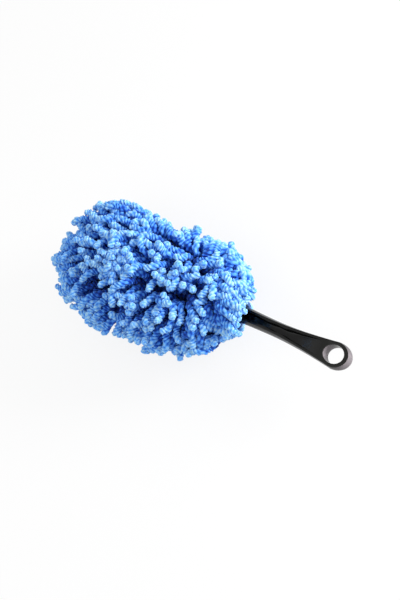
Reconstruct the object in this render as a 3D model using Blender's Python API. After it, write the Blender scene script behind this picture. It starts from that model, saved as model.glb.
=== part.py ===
"""Mini car duster: a moulded handle and paddle in a pull-off sleeve of microfibre noodles.

X runs from the hanging ring to the tip of the head, Y across and Z up. The pieces are
modelled round the neck, where the sleeve grips the moulding, and the whole duster is then
set down on its lowest noodles with the middle of its box over the origin.
"""

import math
import random

import bmesh
import bpy
import numpy as np
from mathutils import Vector

# Handle, in metres
HANDLE_LENGTH = 0.119
RING_WIDTH = 0.0216
RING_END_RIM = 0.00465
HOLE_LENGTH = 0.0184
HOLE_WIDTH = 0.0147
HOLE_RIDGE = 0.00035
HOLE_LIP = 0.0006
WAIST_WIDTH = 0.0127
WAIST_FROM_NECK = 0.046
NECK_WIDTH = 0.0150
RING_THICKNESS = 0.0096
NECK_THICKNESS = 0.0106
RIM_WALL = 0.0021
CHANNEL_FLOOR = 0.0024
CHANNEL_DRAFT = 0.0003
CHANNEL_RISE = 0.034
CHANNEL_LIFT = 0.0004
RING_BULGE = 0.0005
NECK_BULGE = 0.0019
EDGE_ROUND = 0.0006
BELLY_ROUND = 0.0030
SCALLOP_DEPTH = 0.0007
SCALLOP_PITCH = 0.0190
SCALLOPS_LENGTH = 0.0570
ROOT_LENGTH = 0.020
TONGUE_WIDTH = 0.0100

# Paddle
PADDLE_LENGTH = 0.163
PADDLE_WIDTH = 0.058
PADDLE_THICKNESS = 0.0040
PADDLE_WEB = 0.0018
PADDLE_START = 0.006
PADDLE_FLARE = 0.034
PADDLE_TIP = 0.034
PADDLE_RIM = 0.0026
SPINE_WIDTH = 0.0090
CROSS_RIB = 0.0020
RIB_PITCH = 0.034
PADDLE_EDGE_ROUND = 0.0005

# Sleeve
CLOTH = 0.0015
SLEEVE_CLEARANCE = 0.0003
SEAM_ROOM = 0.0045
MOUTH_LENGTH = 0.0210
TIP_ROOM = 0.0060
PANEL_SQUARED_END = 0.0050
SLICE_GAP = 0.0003
SLICES = 5
SEAM_WIDTH = 0.0024
SEAM_THICKNESS = 0.0010

# Neck hem and elastic
HEM_LENGTH = 0.0085
HEM_CLOTH = 0.0008
ELASTIC_WIDTH = 0.0050
ELASTIC_THICKNESS = 0.0010
ELASTIC_CLEARANCE = 0.0003
HEM_SLIT = 0.0004
GATHER_DEPTH = 0.0007
GATHERS = 18

# Noodles and the outline that their tips reach
HEAD_LENGTH = 0.220
HEAD_WIDTH = 0.120
HEAD_TOP = 0.043
HEAD_OVERHANG = 0.012
HEAD_SIDE_SHIFT = 0.0075
REST_DEPTH = 0.038
REST_CUT = 0.0005
NOODLE_RADIUS = 0.0017
NOODLE_TIP_RADIUS = 0.0015
NOODLE_CLEARANCE = 0.0002
NOODLE_ROOT = 0.0006
NECK_CLEARANCE = 0.0010
CUTTER_OVERRUN = 0.010

# Shares and counts
OUTLINE_POWER_SHARE = 2.4
RING_TAPER_SHARE = 1.7
BELLY_LEVEL_SHARE = 0.12
BEVEL_SHARE = 1 - math.sqrt(0.5)
WALL_LEVEL_SHARES = (0.0, 0.35, 0.7, 1.0)
BELLY_STEPS = 5
ROOT_STEPS = 8
SHAFT_STEPS = 17
ROUND_STEPS = 18
HOLE_STEPS = 32
CHANNEL_STEPS = 44
CHANNEL_START_SHARE = 0.9
CHANNEL_END_SHARE = 0.85
RUN_OUT_SHARE = 0.5
LEAST_RUN_OUT_SHARE = 0.05
CORNER_SHARE = 0.3
RECESS_START_SHARE = 0.62
RECESS_STEPS = 8
SEAM_STEPS = 6
WHORL_SHARE = 0.15
FAN_POWER_SHARE = 0.95
LEAST_RISE_DEGREES = 86.0
REST_FLATTENING_SHARE = 1.1
SHIFT_START_SHARE = 0.5
NOODLE_RING_SHARES = (0.0, 0.52, 1.0)
NOODLE_SPREAD_SHARE = 0.20
NOODLE_SHORT_SHARE = 0.10
NOODLE_BEND_SHARE = 0.5
SECTION_SHARES = (-1.0, -0.86, -0.58, -0.29, 0.0, 0.29, 0.58, 0.86, 1.0)
ROWS_A_SLICE = 4
TRIES_A_NOODLE = 8
NECK_OVAL_SHARE = 5.0
MOUTH_OVAL_SHARE = 10.0
MOUTH_STEPS = 5
STEPS_A_GATHER = 4
NECK_STEPS = 48
SEED = 11

SLICE_NAMES = ("neck", "rear", "middle", "front", "tip")

BLACK = (0.012, 0.012, 0.014, 1.0)
NOODLE_BLUE = (0.085, 0.285, 0.76, 1.0)
CLOTH_BLUE = (0.045, 0.15, 0.45, 1.0)
ELASTIC_WHITE = (0.75, 0.75, 0.72, 1.0)


# General helpers


def clear_scene():
    for obj in list(bpy.data.objects):
        bpy.data.objects.remove(obj, do_unlink=True)


def material(name, colour, roughness):
    made = bpy.data.materials.new(name)
    made.use_nodes = True
    shader = made.node_tree.nodes["Principled BSDF"]
    shader.inputs["Base Color"].default_value = colour
    shader.inputs["Roughness"].default_value = roughness
    shader.inputs["Metallic"].default_value = 0.0
    made.diffuse_color = colour
    return made


def add_object(name, bm, surface, parent, smooth_angle=35.0):
    bmesh.ops.recalc_face_normals(bm, faces=bm.faces)
    mesh = bpy.data.meshes.new(name)
    bm.to_mesh(mesh)
    bm.free()
    mesh.shade_smooth()
    mesh.set_sharp_from_angle(angle=math.radians(smooth_angle))
    mesh.materials.append(surface)
    obj = bpy.data.objects.new(name, mesh)
    bpy.context.scene.collection.objects.link(obj)
    obj.parent = parent
    return obj


def add_cutter(name, bm, parent):
    bmesh.ops.recalc_face_normals(bm, faces=bm.faces)
    mesh = bpy.data.meshes.new(name)
    bm.to_mesh(mesh)
    bm.free()
    cutter = bpy.data.objects.new(name, mesh)
    bpy.context.scene.collection.objects.link(cutter)
    cutter.parent = parent
    cutter.hide_render = True
    cutter.display_type = "WIRE"
    return cutter


def boolean(obj, other, operation):
    change = obj.modifiers.new(other.name, "BOOLEAN")
    change.operation = operation
    change.solver = "EXACT"
    change.object = other


def bridge_rings(bm, rings, closed=True):
    """Skin a stack of vertex rings; the first and last rings are capped when closed."""
    count = len(rings[0])
    for lower, upper in zip(rings, rings[1:]):
        for i in range(count):
            j = (i + 1) % count
            bm.faces.new((lower[i], lower[j], upper[j], upper[i]))
    if closed:
        bm.faces.new(list(reversed(rings[0])))
        bm.faces.new(rings[-1])


def ease(share):
    share = min(max(share, 0.0), 1.0)
    return share * share * (3 - 2 * share)


def mix(low, high, share):
    return low + (high - low) * share


# Handle outline


def hole_centre():
    return -HANDLE_LENGTH + RING_END_RIM + HOLE_LENGTH / 2


def waist():
    return -WAIST_FROM_NECK


def handle_half_width(x):
    """Half the handle's greatest width: the ring, the taper to the waist, the neck, the tongue."""
    ring, end = RING_WIDTH / 2, RING_END_RIM + HOLE_LENGTH / 2
    if x <= hole_centre():
        along = min((hole_centre() - x) / end, 1.0)
        return ring * math.sqrt(max(1 - along * along, 0.0))
    if x <= waist():
        share = (x - hole_centre()) / (waist() - hole_centre())
        return mix(WAIST_WIDTH / 2, ring, (1 - share) ** RING_TAPER_SHARE)
    if x <= 0:
        share = (x - waist()) / WAIST_FROM_NECK
        return mix(WAIST_WIDTH / 2, NECK_WIDTH / 2, share**RING_TAPER_SHARE)
    return mix(NECK_WIDTH / 2, TONGUE_WIDTH / 2, ease(x / ROOT_LENGTH))


def handle_bulge(x):
    """How far the side walls belly out past the rim, more towards the neck."""
    along = (x - hole_centre()) / -hole_centre()
    return mix(RING_BULGE, NECK_BULGE, ease(along)) * (1 - ease(x / ROOT_LENGTH))


def handle_thickness(x):
    if x <= 0:
        return mix(RING_THICKNESS, NECK_THICKNESS, ease((x - hole_centre()) / -hole_centre()))
    return mix(NECK_THICKNESS, PADDLE_THICKNESS, ease(x / ROOT_LENGTH))


def handle_outline():
    """Closed outline of the handle seen from above: one side, round the ring, the other side."""
    shaft = np.concatenate(
        [
            np.linspace(ROOT_LENGTH, 0, ROOT_STEPS, endpoint=False),
            np.linspace(0, hole_centre(), SHAFT_STEPS, endpoint=False),
        ]
    )
    end = RING_END_RIM + HOLE_LENGTH / 2
    side = [(x, handle_half_width(x)) for x in shaft]
    for turn in np.linspace(0, math.pi, ROUND_STEPS + 1):
        across = RING_WIDTH / 2 * math.cos(turn)
        side.append((hole_centre() - end * math.sin(turn), across))
    side += [(x, -handle_half_width(x)) for x in reversed(shaft)]
    return side


def inset_outline(points, inset):
    """Move each point of a closed outline inwards by its own inset, square to the outline."""
    count = len(points)
    moved = []
    for i, (x, y) in enumerate(points):
        before, after = points[i - 1], points[(i + 1) % count]
        along = Vector((after[0] - before[0], after[1] - before[1])).normalized()
        depth = inset(x)
        moved.append((x - along.y * depth, y + along.x * depth))
    return moved


def handle_levels():
    """Rows of the side wall, top to bottom, as height and inset for a place along the handle."""

    def top(x):
        return handle_thickness(x) / 2

    def belly(x):
        return -handle_thickness(x) * BELLY_LEVEL_SHARE

    def corner(x):
        return min(BELLY_ROUND, handle_thickness(x) / 2 + belly(x))

    rows = [(top, lambda x: handle_bulge(x) + EDGE_ROUND)]
    rows.append(
        (
            lambda x: top(x) - EDGE_ROUND * BEVEL_SHARE,
            lambda x: handle_bulge(x) + EDGE_ROUND * BEVEL_SHARE,
        )
    )
    for share in WALL_LEVEL_SHARES:
        rows.append(
            (
                lambda x, s=share: mix(top(x) - EDGE_ROUND, belly(x), s),
                lambda x, s=share: handle_bulge(x) * (1 - s) ** 2,
            )
        )
    for turn in np.linspace(0, math.pi / 2, BELLY_STEPS + 1)[1:]:
        rows.append(
            (
                lambda x, t=turn: mix(belly(x), -top(x), math.sin(t)),
                lambda x, t=turn: corner(x) * (1 - math.cos(t)),
            )
        )
    return rows


def handle_body(parent):
    outline = handle_outline()
    bm = bmesh.new()
    rings = []
    for height, inset in handle_levels():
        row = inset_outline(outline, inset)
        rings.append(
            [bm.verts.new((x, y, height(at))) for (x, y), (at, _) in zip(row, outline)]
        )
    bridge_rings(bm, rings)
    return add_object("handle_and_paddle", bm, material("moulded_black", BLACK, 0.22), parent)


# Channel and hanging hole


def channel_half_width(x):
    """Room between the rims, with the shallow finger scallops of their inner edges."""
    from_waist = abs(x - waist()) / (SCALLOPS_LENGTH / 2)
    fade = 1 - ease(from_waist)
    wave = (1 - math.cos(2 * math.pi * (x - waist()) / SCALLOP_PITCH)) / 2
    rim = handle_bulge(x) + RIM_WALL + SCALLOP_DEPTH * wave * fade
    return handle_half_width(x) - rim


def channel_floor(x, start):
    """The floor drops from the rims' level at the hanging hole to its full depth."""
    high = handle_thickness(x) / 2 + CHANNEL_LIFT
    low = -handle_thickness(x) / 2 + CHANNEL_FLOOR
    return mix(high, low, ease((x - start) / CHANNEL_RISE))


def channel_cutter(parent):
    """The open channel: it runs from the hanging hole's lip to its run-out on the paddle."""
    start = hole_centre() + HOLE_LENGTH / 2 * CHANNEL_START_SHARE
    end = ROOT_LENGTH * CHANNEL_END_SHARE
    bm = bmesh.new()
    rings = []
    for x in np.linspace(start, end, CHANNEL_STEPS):
        half = channel_half_width(max(x, hole_centre()))
        run_out = ease((end - x) / (ROOT_LENGTH * RUN_OUT_SHARE))
        half *= math.sqrt(max(run_out, LEAST_RUN_OUT_SHARE))
        floor = mix(handle_thickness(x) / 2, channel_floor(x, start), run_out)
        top = NECK_THICKNESS / 2 + CUTTER_OVERRUN
        corner = min(half, CHANNEL_FLOOR) / 2
        cut = corner * CORNER_SHARE
        rings.append(
            [
                bm.verts.new((x, half + CHANNEL_DRAFT, top)),
                bm.verts.new((x, half, floor + corner)),
                bm.verts.new((x, half - cut, floor + cut)),
                bm.verts.new((x, half - corner, floor)),
                bm.verts.new((x, -half + corner, floor)),
                bm.verts.new((x, -half + cut, floor + cut)),
                bm.verts.new((x, -half, floor + corner)),
                bm.verts.new((x, -half - CHANNEL_DRAFT, top)),
            ]
        )
    bridge_rings(bm, rings)
    return add_cutter("channel_cutter", bm, parent)


def hole_cutter(parent):
    """Oval hanging hole with eased lips, drawn in a little where the two mould halves part."""
    reach = RING_THICKNESS / 2
    eased = HOLE_LIP * BEVEL_SHARE
    above = (
        (reach + CUTTER_OVERRUN, -HOLE_LIP),
        (reach, -HOLE_LIP),
        (reach - eased, -eased),
        (reach - HOLE_LIP, 0.0),
    )
    below = tuple((-z, inset) for z, inset in reversed(above))
    levels = above + ((0.0, HOLE_RIDGE),) + below
    bm = bmesh.new()
    rings = []
    for z, inset in levels:
        ring = []
        for turn in np.linspace(0, 2 * math.pi, HOLE_STEPS, endpoint=False):
            x = hole_centre() + (HOLE_LENGTH / 2 - inset) * math.cos(turn)
            ring.append(bm.verts.new((x, (HOLE_WIDTH / 2 - inset) * math.sin(turn), z)))
        rings.append(ring)
    bridge_rings(bm, rings)
    return add_cutter("hole_cutter", bm, parent)


# Paddle


def rounded_end(share):
    """Width share of a rounded end, from 1 where it starts to 0 at its tip."""
    share = min(max(share, 0.0), 1.0)
    return (1 - share**OUTLINE_POWER_SHARE) ** (1 / OUTLINE_POWER_SHARE)


def paddle_half_width(x):
    flare = ease((x - PADDLE_START) / PADDLE_FLARE)
    full = mix(NECK_WIDTH / 2 - PADDLE_EDGE_ROUND, PADDLE_WIDTH / 2, flare)
    return full * rounded_end((x - (PADDLE_LENGTH - PADDLE_TIP)) / PADDLE_TIP)


def paddle_outline():
    end = PADDLE_LENGTH - PADDLE_TIP
    straight = np.linspace(PADDLE_START, end, ROUND_STEPS, endpoint=False)
    side = [(x, paddle_half_width(x)) for x in straight]
    half = PADDLE_WIDTH / 2
    power = 2 / OUTLINE_POWER_SHARE
    for turn in np.linspace(0, math.pi, ROUND_STEPS + 1):
        across = abs(math.cos(turn)) ** power * math.copysign(half, math.cos(turn))
        along = end + PADDLE_TIP * abs(math.sin(turn)) ** power
        side.append((along, across))
    side += [(x, -y) for x, y in reversed(side[:ROUND_STEPS])]
    return [(x, -y) for x, y in side]


def paddle_blade(parent):
    outline = paddle_outline()
    half = PADDLE_THICKNESS / 2
    levels = (
        (half, PADDLE_EDGE_ROUND),
        (half - PADDLE_EDGE_ROUND, 0.0),
        (PADDLE_EDGE_ROUND - half, 0.0),
        (-half, PADDLE_EDGE_ROUND),
    )
    bm = bmesh.new()
    rings = []
    for z, inset in levels:
        row = inset_outline(outline, lambda x, depth=inset: depth)
        rings.append([bm.verts.new((x, y, z)) for x, y in row])
    bridge_rings(bm, rings)
    return add_cutter("paddle_blade", bm, parent)


def recess_cutter(parent):
    """Shallow panels on both faces of the blade, between its rim, spine and cross ribs."""
    start = PADDLE_START + PADDLE_FLARE * RECESS_START_SHARE
    end = PADDLE_LENGTH - PADDLE_RIM
    cells = max(int((end - start) / RIB_PITCH), 1)
    pitch = (end - start) / cells
    web = PADDLE_WEB / 2
    top = PADDLE_THICKNESS / 2 + CUTTER_OVERRUN
    bm = bmesh.new()
    for cell in range(cells):
        low = start + cell * pitch + CROSS_RIB / 2
        high = start + (cell + 1) * pitch - CROSS_RIB / 2
        for face in (1, -1):
            for side in (1, -1):
                rings = []
                for x in np.linspace(low, high, RECESS_STEPS + 1):
                    outer = max(paddle_half_width(x) - PADDLE_RIM, SPINE_WIDTH / 2 + CROSS_RIB)
                    corners = (
                        (SPINE_WIDTH / 2, web),
                        (outer, web),
                        (outer, top),
                        (SPINE_WIDTH / 2, top),
                    )
                    rings.append([bm.verts.new((x, side * y, face * z)) for y, z in corners])
                bridge_rings(bm, rings)
    return add_cutter("recess_cutter", bm, parent)


def make_moulding(parent):
    blade = paddle_blade(parent)
    boolean(blade, recess_cutter(parent), "DIFFERENCE")
    moulding = handle_body(parent)
    boolean(moulding, blade, "UNION")
    boolean(moulding, channel_cutter(parent), "DIFFERENCE")
    boolean(moulding, hole_cutter(parent), "DIFFERENCE")
    return moulding


# Sleeve panels


def sleeve_half_height():
    return PADDLE_THICKNESS / 2 + SLEEVE_CLEARANCE + CLOTH


def sleeve_half_width():
    return PADDLE_WIDTH / 2 + SEAM_ROOM + CLOTH


def sleeve_end():
    return PADDLE_LENGTH + TIP_ROOM + CLOTH


def panel_half_width(x, wall):
    """Half width of the sleeve at x, its outer face when wall is nought."""
    tip = PADDLE_TIP + TIP_ROOM
    along = (x - (sleeve_end() - tip)) / tip
    return sleeve_half_width() * rounded_end(along) - wall


def slice_ends(index):
    last = sleeve_end() - PANEL_SQUARED_END
    length = (last - MOUTH_LENGTH) / SLICES
    low = MOUTH_LENGTH + index * length
    return low, low + length - SLICE_GAP


def panel_row(x, face, wall):
    """Points across one panel at x, from one side seam over the flat to the other."""
    half = panel_half_width(x, wall)
    height = sleeve_half_height() - wall
    row = []
    for share in SECTION_SHARES:
        at_seam = abs(share) == 1.0
        z = SLICE_GAP / 2 if at_seam else height
        row.append((x, share * half, face * z))
    return row


# Noodles


def panel_place(root):
    """Where a root lies on its panel: nought at the whorl, one at the panel's edge.

    The panel is first squared up and then rounded to a disc, so that no two roots share a place.
    """
    half = (sleeve_end() - PANEL_SQUARED_END - MOUTH_LENGTH) / 2
    along = (root.x - MOUTH_LENGTH - half) / half
    along += WHORL_SHARE * (1 - along * along)
    across = root.y / (sleeve_half_width() * SECTION_SHARES[-2])
    squeezed = along * math.sqrt(1 - min(across * across, 1.0) / 2)
    across *= math.sqrt(1 - min(along * along, 1.0) / 2)
    return math.hypot(squeezed, across), math.atan2(across, squeezed)


def neck_headroom(tip):
    """Least height of a tip that lies back over the neck, clear of the hem and the paddle."""
    hem_top = neck_room()[1] + hem_depth() + NOODLE_RADIUS + NECK_CLEARANCE
    paddle_top = PADDLE_THICKNESS / 2 + NOODLE_RADIUS + NECK_CLEARANCE
    hem_side = neck_room()[0] + hem_depth() + NECK_CLEARANCE
    beside = ease((abs(tip.y) - hem_side) / (PADDLE_WIDTH / 2 - hem_side))
    needed = mix(hem_top, paddle_top, beside)
    return needed * (1 - ease((tip.x - MOUTH_LENGTH) / MOUTH_LENGTH))


def noodle_tip(root, face, draw):
    """The tip's place on the head's outline: fanned out evenly from the whorl to the rim."""
    out, turn = panel_place(root)
    out = min(out * (1 + draw.uniform(-1, 1) * NOODLE_SPREAD_SHARE), 1.0)
    turn += draw.uniform(-1, 1) * NOODLE_SPREAD_SHARE
    lean = math.radians(LEAST_RISE_DEGREES) * out**FAN_POWER_SHARE
    along = math.sin(lean) * math.cos(turn)
    across = math.sin(lean) * math.sin(turn)
    along -= WHORL_SHARE * (1 - along * along)
    rise = math.cos(lean) * (1 - draw.random() * NOODLE_SHORT_SHARE)
    tip = Vector(
        (
            HEAD_LENGTH / 2 * (1 + along) - HEAD_OVERHANG,
            HEAD_WIDTH / 2 * across + HEAD_SIDE_SHIFT * ease(along + SHIFT_START_SHARE),
            HEAD_TOP * rise,
        )
    )
    tip.z = max(tip.z, neck_headroom(tip))
    if face < 0:
        tip.z = -min(tip.z * REST_FLATTENING_SHARE, REST_DEPTH + REST_CUT)
    return tip


def noodle_path(root, normal, face, draw):
    """The bend of one noodle past its upright root, as a quadratic curve: start, knee and tip."""
    tip = noodle_tip(root, face, draw)
    start = root + normal * NOODLE_ROOT
    reach = tip - start
    knee = start + (reach.normalized() + normal).normalized() * reach.length * NOODLE_BEND_SHARE
    return start, knee, tip


def curve_point(path, share):
    start, knee, tip = path
    return start * (1 - share) ** 2 + knee * 2 * share * (1 - share) + tip * share**2


def curve_tangent(path, share):
    start, knee, tip = path
    return ((knee - start) * (1 - share) + (tip - knee) * share).normalized()


def place_ring(face, path, share, radius):
    """Set a noodle's three corners square to its path, turned as little as can be.

    The first ring lies flat over the root, so that no corner dips into the cloth.
    """
    face.normal_update()
    tangent = curve_tangent(path, share) if share > 0 else face.normal.copy()
    turn = face.normal.rotation_difference(tangent)
    side = face.loops[0].vert.co - face.calc_center_median()
    side = (turn @ side).normalized() * radius
    centre = curve_point(path, share)
    across = tangent.cross(side)
    for i, loop in enumerate(face.loops):
        angle = 2 * math.pi * i / 3
        loop.vert.co = centre + side * math.cos(angle) + across * math.sin(angle)


def path_points(path):
    """Closely set points along the straight pieces that a noodle is made of."""
    corners = [curve_point(path, share) for share in NOODLE_RING_SHARES]
    points = []
    for low, high in zip(corners, corners[1:]):
        steps = 2 + int((high - low).length / NOODLE_RADIUS)
        points += [low.lerp(high, step / (steps - 1)) for step in range(steps)]
    return np.array(points)


def least_gap(points, others):
    """Least distance from the middle line of a noodle to those of the others."""
    if not others:
        return HEAD_LENGTH
    apart = np.linalg.norm(points[:, None] - np.concatenate(others)[None], axis=2)
    return float(apart.min())


def clearest_path(centre, normal, face_sign, draw, placed):
    """The path, of several tries at one root, that keeps furthest from the noodles so far."""
    best = (0.0, None, None)
    for _ in range(TRIES_A_NOODLE):
        path = noodle_path(centre, normal, face_sign, draw)
        points = path_points(path)
        gap = least_gap(points, placed)
        if gap > best[0]:
            best = (gap, path, points)
    return best


def grow_noodles(bm, roots, face_sign, draw, placed):
    """Extrude each root triangle along its own bend, leaving out noodles that would crowd."""
    owner = bm.faces.layers.int["noodle"]
    faces = []
    paths = []
    for face in roots:
        centre = face.calc_center_median()
        gap, path, points = clearest_path(centre, face.normal, face_sign, draw, placed)
        if gap >= 2 * NOODLE_RADIUS + NOODLE_CLEARANCE:
            face[owner] = len(paths)
            placed.append(points)
            faces.append(face)
            paths.append(path)
    for share in NOODLE_RING_SHARES:
        grown = bmesh.ops.extrude_discrete_faces(bm, faces=faces)["faces"]
        faces = [face for face in grown if len(face.verts) == 3]
        radius = NOODLE_RADIUS if share < 1 else NOODLE_TIP_RADIUS
        for face in faces:
            place_ring(face, paths[face[owner]], share, radius)


def cut_rest_face(bm):
    """Cut the lowest noodles flat where the duster lies on them, and close the cuts."""
    geometry = bm.verts[:] + bm.edges[:] + bm.faces[:]
    cut = bmesh.ops.bisect_plane(
        bm,
        geom=geometry,
        plane_co=(0, 0, -REST_DEPTH),
        plane_no=(0, 0, -1),
        clear_outer=True,
    )["geom_cut"]
    edges = [item for item in cut if isinstance(item, bmesh.types.BMEdge)]
    if edges:
        bmesh.ops.holes_fill(bm, edges=edges)
    bmesh.ops.triangulate(bm, faces=[face for face in bm.faces if len(face.verts) > 4])


def noodle_slice(name, index, face_sign, surface, draw, placed, parent):
    """One slice of a noodle fabric: the backing cloth with its noodles grown from it."""
    low, high = slice_ends(index)
    stations = np.linspace(low, high, ROWS_A_SLICE + 1)
    bm = bmesh.new()
    bm.faces.layers.int.new("noodle")
    outer = [[bm.verts.new(p) for p in panel_row(x, face_sign, 0.0)] for x in stations]
    inner = [[bm.verts.new(p) for p in panel_row(x, face_sign, CLOTH)] for x in stations]
    roots = []
    columns = len(SECTION_SHARES) - 1
    for row in range(ROWS_A_SLICE):
        for column in range(columns):
            a, b = outer[row][column], outer[row + 1][column]
            c, d = outer[row + 1][column + 1], outer[row][column + 1]
            halves = ((a, b, c), (a, c, d)) if (row + column) % 2 else ((a, b, d), (b, c, d))
            for corners in halves:
                order = corners if face_sign > 0 else tuple(reversed(corners))
                cloth = bm.faces.new(order)
                if 0 < column < columns - 1:
                    roots.append(cloth)
            a, b = inner[row][column], inner[row + 1][column]
            c, d = inner[row + 1][column + 1], inner[row][column + 1]
            bm.faces.new((a, b, c, d))
        for column in (0, columns):
            a, b = outer[row][column], outer[row + 1][column]
            c, d = inner[row + 1][column], inner[row][column]
            bm.faces.new((a, b, c, d))
    for column in range(columns):
        for end in (0, ROWS_A_SLICE):
            a, b = outer[end][column], outer[end][column + 1]
            c, d = inner[end][column + 1], inner[end][column]
            bm.faces.new((a, b, c, d))
    bm.normal_update()
    grow_noodles(bm, roots, face_sign, draw, placed)
    if face_sign < 0:
        cut_rest_face(bm)
    add_object(name, bm, surface, parent, smooth_angle=65.0)


def make_noodles(parent):
    surface = material("microfibre_blue", NOODLE_BLUE, 0.9)
    draw = random.Random(SEED)
    placed = []
    for panel, face_sign in (("top", 1), ("bottom", -1)):
        for index in range(SLICES):
            name = f"{panel}_noodles_{SLICE_NAMES[index]}"
            noodle_slice(name, index, face_sign, surface, draw, placed, parent)
    gaps = [least_gap(points, placed[:i]) for i, points in enumerate(placed)]
    print(f"{len(placed)} noodles, the two nearest {min(gaps) * 1000:.2f} mm apart at their middles")


# Side seam, gathered mouth, hem and elastic


def make_side_seam(parent):
    """The folded-in seam allowance, a flat strip that runs round the paddle's edge."""
    inner = PADDLE_WIDTH / 2 + SLEEVE_CLEARANCE
    tip = PADDLE_TIP + SLEEVE_CLEARANCE
    start = PADDLE_LENGTH - PADDLE_TIP
    power = 2 / OUTLINE_POWER_SHARE
    back = MOUTH_LENGTH + PADDLE_FLARE
    stations = [(x, 0.0) for x in np.linspace(back, start, SEAM_STEPS, endpoint=False)]
    stations += [(start, turn) for turn in np.linspace(0, math.pi / 2, ROUND_STEPS // 2)]
    bm = bmesh.new()
    half = SEAM_THICKNESS / 2

    def point(x, turn, out, side):
        across = (inner + out) * math.cos(turn) ** power
        along = x + (tip + out / 2) * math.sin(turn) ** power
        return along, side * across

    path = [(x, turn, 1) for x, turn in stations]
    path += [(x, turn, -1) for x, turn in reversed(stations[:-1])]
    rings = []
    for x, turn, side in path:
        low, high = point(x, turn, 0.0, side), point(x, turn, SEAM_WIDTH, side)
        corners = ((low, -half), (high, -half), (high, half), (low, half))
        rings.append([bm.verts.new((p[0], p[1], z)) for p, z in corners])
    bridge_rings(bm, rings)
    add_object("side_seam", bm, material("seam_cloth", CLOTH_BLUE, 0.95), parent)


def oval(half_width, half_height, turn, power):
    """A point on a rounded oval, from its half sizes."""
    c, s = math.cos(turn), math.sin(turn)
    y = math.copysign(abs(c) ** (2 / power), c) * half_width
    z = math.copysign(abs(s) ** (2 / power), s) * half_height
    return y, z


def neck_room():
    """Half sizes of the room that the hem leaves round the neck."""
    return (
        NECK_WIDTH / 2 + SLEEVE_CLEARANCE,
        NECK_THICKNESS / 2 + SLEEVE_CLEARANCE,
    )


def hem_depth():
    return 2 * HEM_CLOTH + ELASTIC_THICKNESS + 2 * ELASTIC_CLEARANCE


def ring_sweep(profile):
    """Sweep a closed profile of (x, out) points round the neck."""
    width, height = neck_room()
    bm = bmesh.new()
    rings = []
    for step in range(NECK_STEPS):
        turn = 2 * math.pi * step / NECK_STEPS
        ring = []
        for x, out in profile:
            y, z = oval(width + out, height + out, turn, NECK_OVAL_SHARE)
            ring.append(bm.verts.new((x, y, z)))
        rings.append(ring)
    rings.append(rings[0])
    bridge_rings(bm, rings, closed=False)
    return bm


def make_hem(parent):
    """The folded tunnel round the neck, open by the slit where it is stitched down."""
    back, front = -HEM_LENGTH, 0.0
    depth = hem_depth()
    tunnel_front = front - HEM_CLOTH
    tunnel_back = back + HEM_CLOTH
    slit = HEM_SLIT
    profile = (
        (back, HEM_CLOTH / 2),
        (back, depth - HEM_CLOTH / 2),
        (tunnel_back, depth),
        (front, depth),
        (front, HEM_CLOTH + slit),
        (tunnel_front, HEM_CLOTH + slit),
        (tunnel_front, depth - HEM_CLOTH),
        (tunnel_back, depth - HEM_CLOTH),
        (tunnel_back, HEM_CLOTH),
        (front, HEM_CLOTH),
        (front, 0.0),
        (tunnel_back, 0.0),
    )
    bm = ring_sweep(profile)
    add_object("neck_hem", bm, material("hem_cloth", CLOTH_BLUE, 0.95), parent)


def make_elastic(parent):
    middle = -HEM_LENGTH / 2
    inner = HEM_CLOTH + ELASTIC_CLEARANCE
    outer = inner + ELASTIC_THICKNESS
    back, front = middle - ELASTIC_WIDTH / 2, middle + ELASTIC_WIDTH / 2
    profile = ((back, inner), (back, outer), (front, outer), (front, inner))
    bm = ring_sweep(profile)
    add_object("neck_elastic", bm, material("elastic_white", ELASTIC_WHITE, 0.8), parent)


def make_mouth(parent):
    """The gathered cloth that closes the full-width pocket down to the hem."""
    width, height = neck_room()
    start = SLICE_GAP
    end = MOUTH_LENGTH - SLICE_GAP
    steps = GATHERS * STEPS_A_GATHER
    bm = bmesh.new()
    layers = []
    for wall in (0.0, CLOTH):
        rings = []
        for share in np.linspace(0.0, 1.0, MOUTH_STEPS + 1):
            x = mix(start, end, share)
            half_y = mix(width + hem_depth(), sleeve_half_width(), ease(share))
            half_z = mix(height + hem_depth(), sleeve_half_height(), ease(share))
            power = mix(NECK_OVAL_SHARE, MOUTH_OVAL_SHARE, share)
            ring = []
            for step in range(steps):
                turn = 2 * math.pi * step / steps
                fold = GATHER_DEPTH * math.cos(turn * GATHERS) * (1 - share)
                y, z = oval(half_y + fold - wall, half_z + fold - wall, turn, power)
                ring.append(bm.verts.new((x, y, z)))
            rings.append(ring)
        bridge_rings(bm, rings, closed=False)
        layers.append(rings)
    outer, inner = layers
    for end_ring in (0, -1):
        for i in range(steps):
            j = (i + 1) % steps
            a, b = outer[end_ring][i], outer[end_ring][j]
            bm.faces.new((a, b, inner[end_ring][j], inner[end_ring][i]))
    add_object("gathered_mouth", bm, material("mouth_cloth", CLOTH_BLUE, 0.95), parent)


# Assembly


def world_box():
    """Lowest and highest corners of every piece that shows, in world space."""
    bpy.context.view_layer.update()
    graph = bpy.context.evaluated_depsgraph_get()
    low, high = Vector((math.inf,) * 3), Vector((-math.inf,) * 3)
    for obj in bpy.context.scene.objects:
        if obj.type != "MESH" or obj.hide_render:
            continue
        shape = obj.evaluated_get(graph)
        for vertex in shape.data.vertices:
            place = shape.matrix_world @ vertex.co
            low = Vector(map(min, low, place))
            high = Vector(map(max, high, place))
    return low, high


def set_down(duster):
    """Put the middle of the box over the origin and the cut noodles on the ground."""
    low, high = world_box()
    middle = (low + high) / 2
    duster.location = (-middle.x, -middle.y, -low.z)
    place = ", ".join(f"{value:.5f}" for value in duster.location)
    print(f"neck at {place}, size {[round(side, 5) for side in high - low]}")


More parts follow.
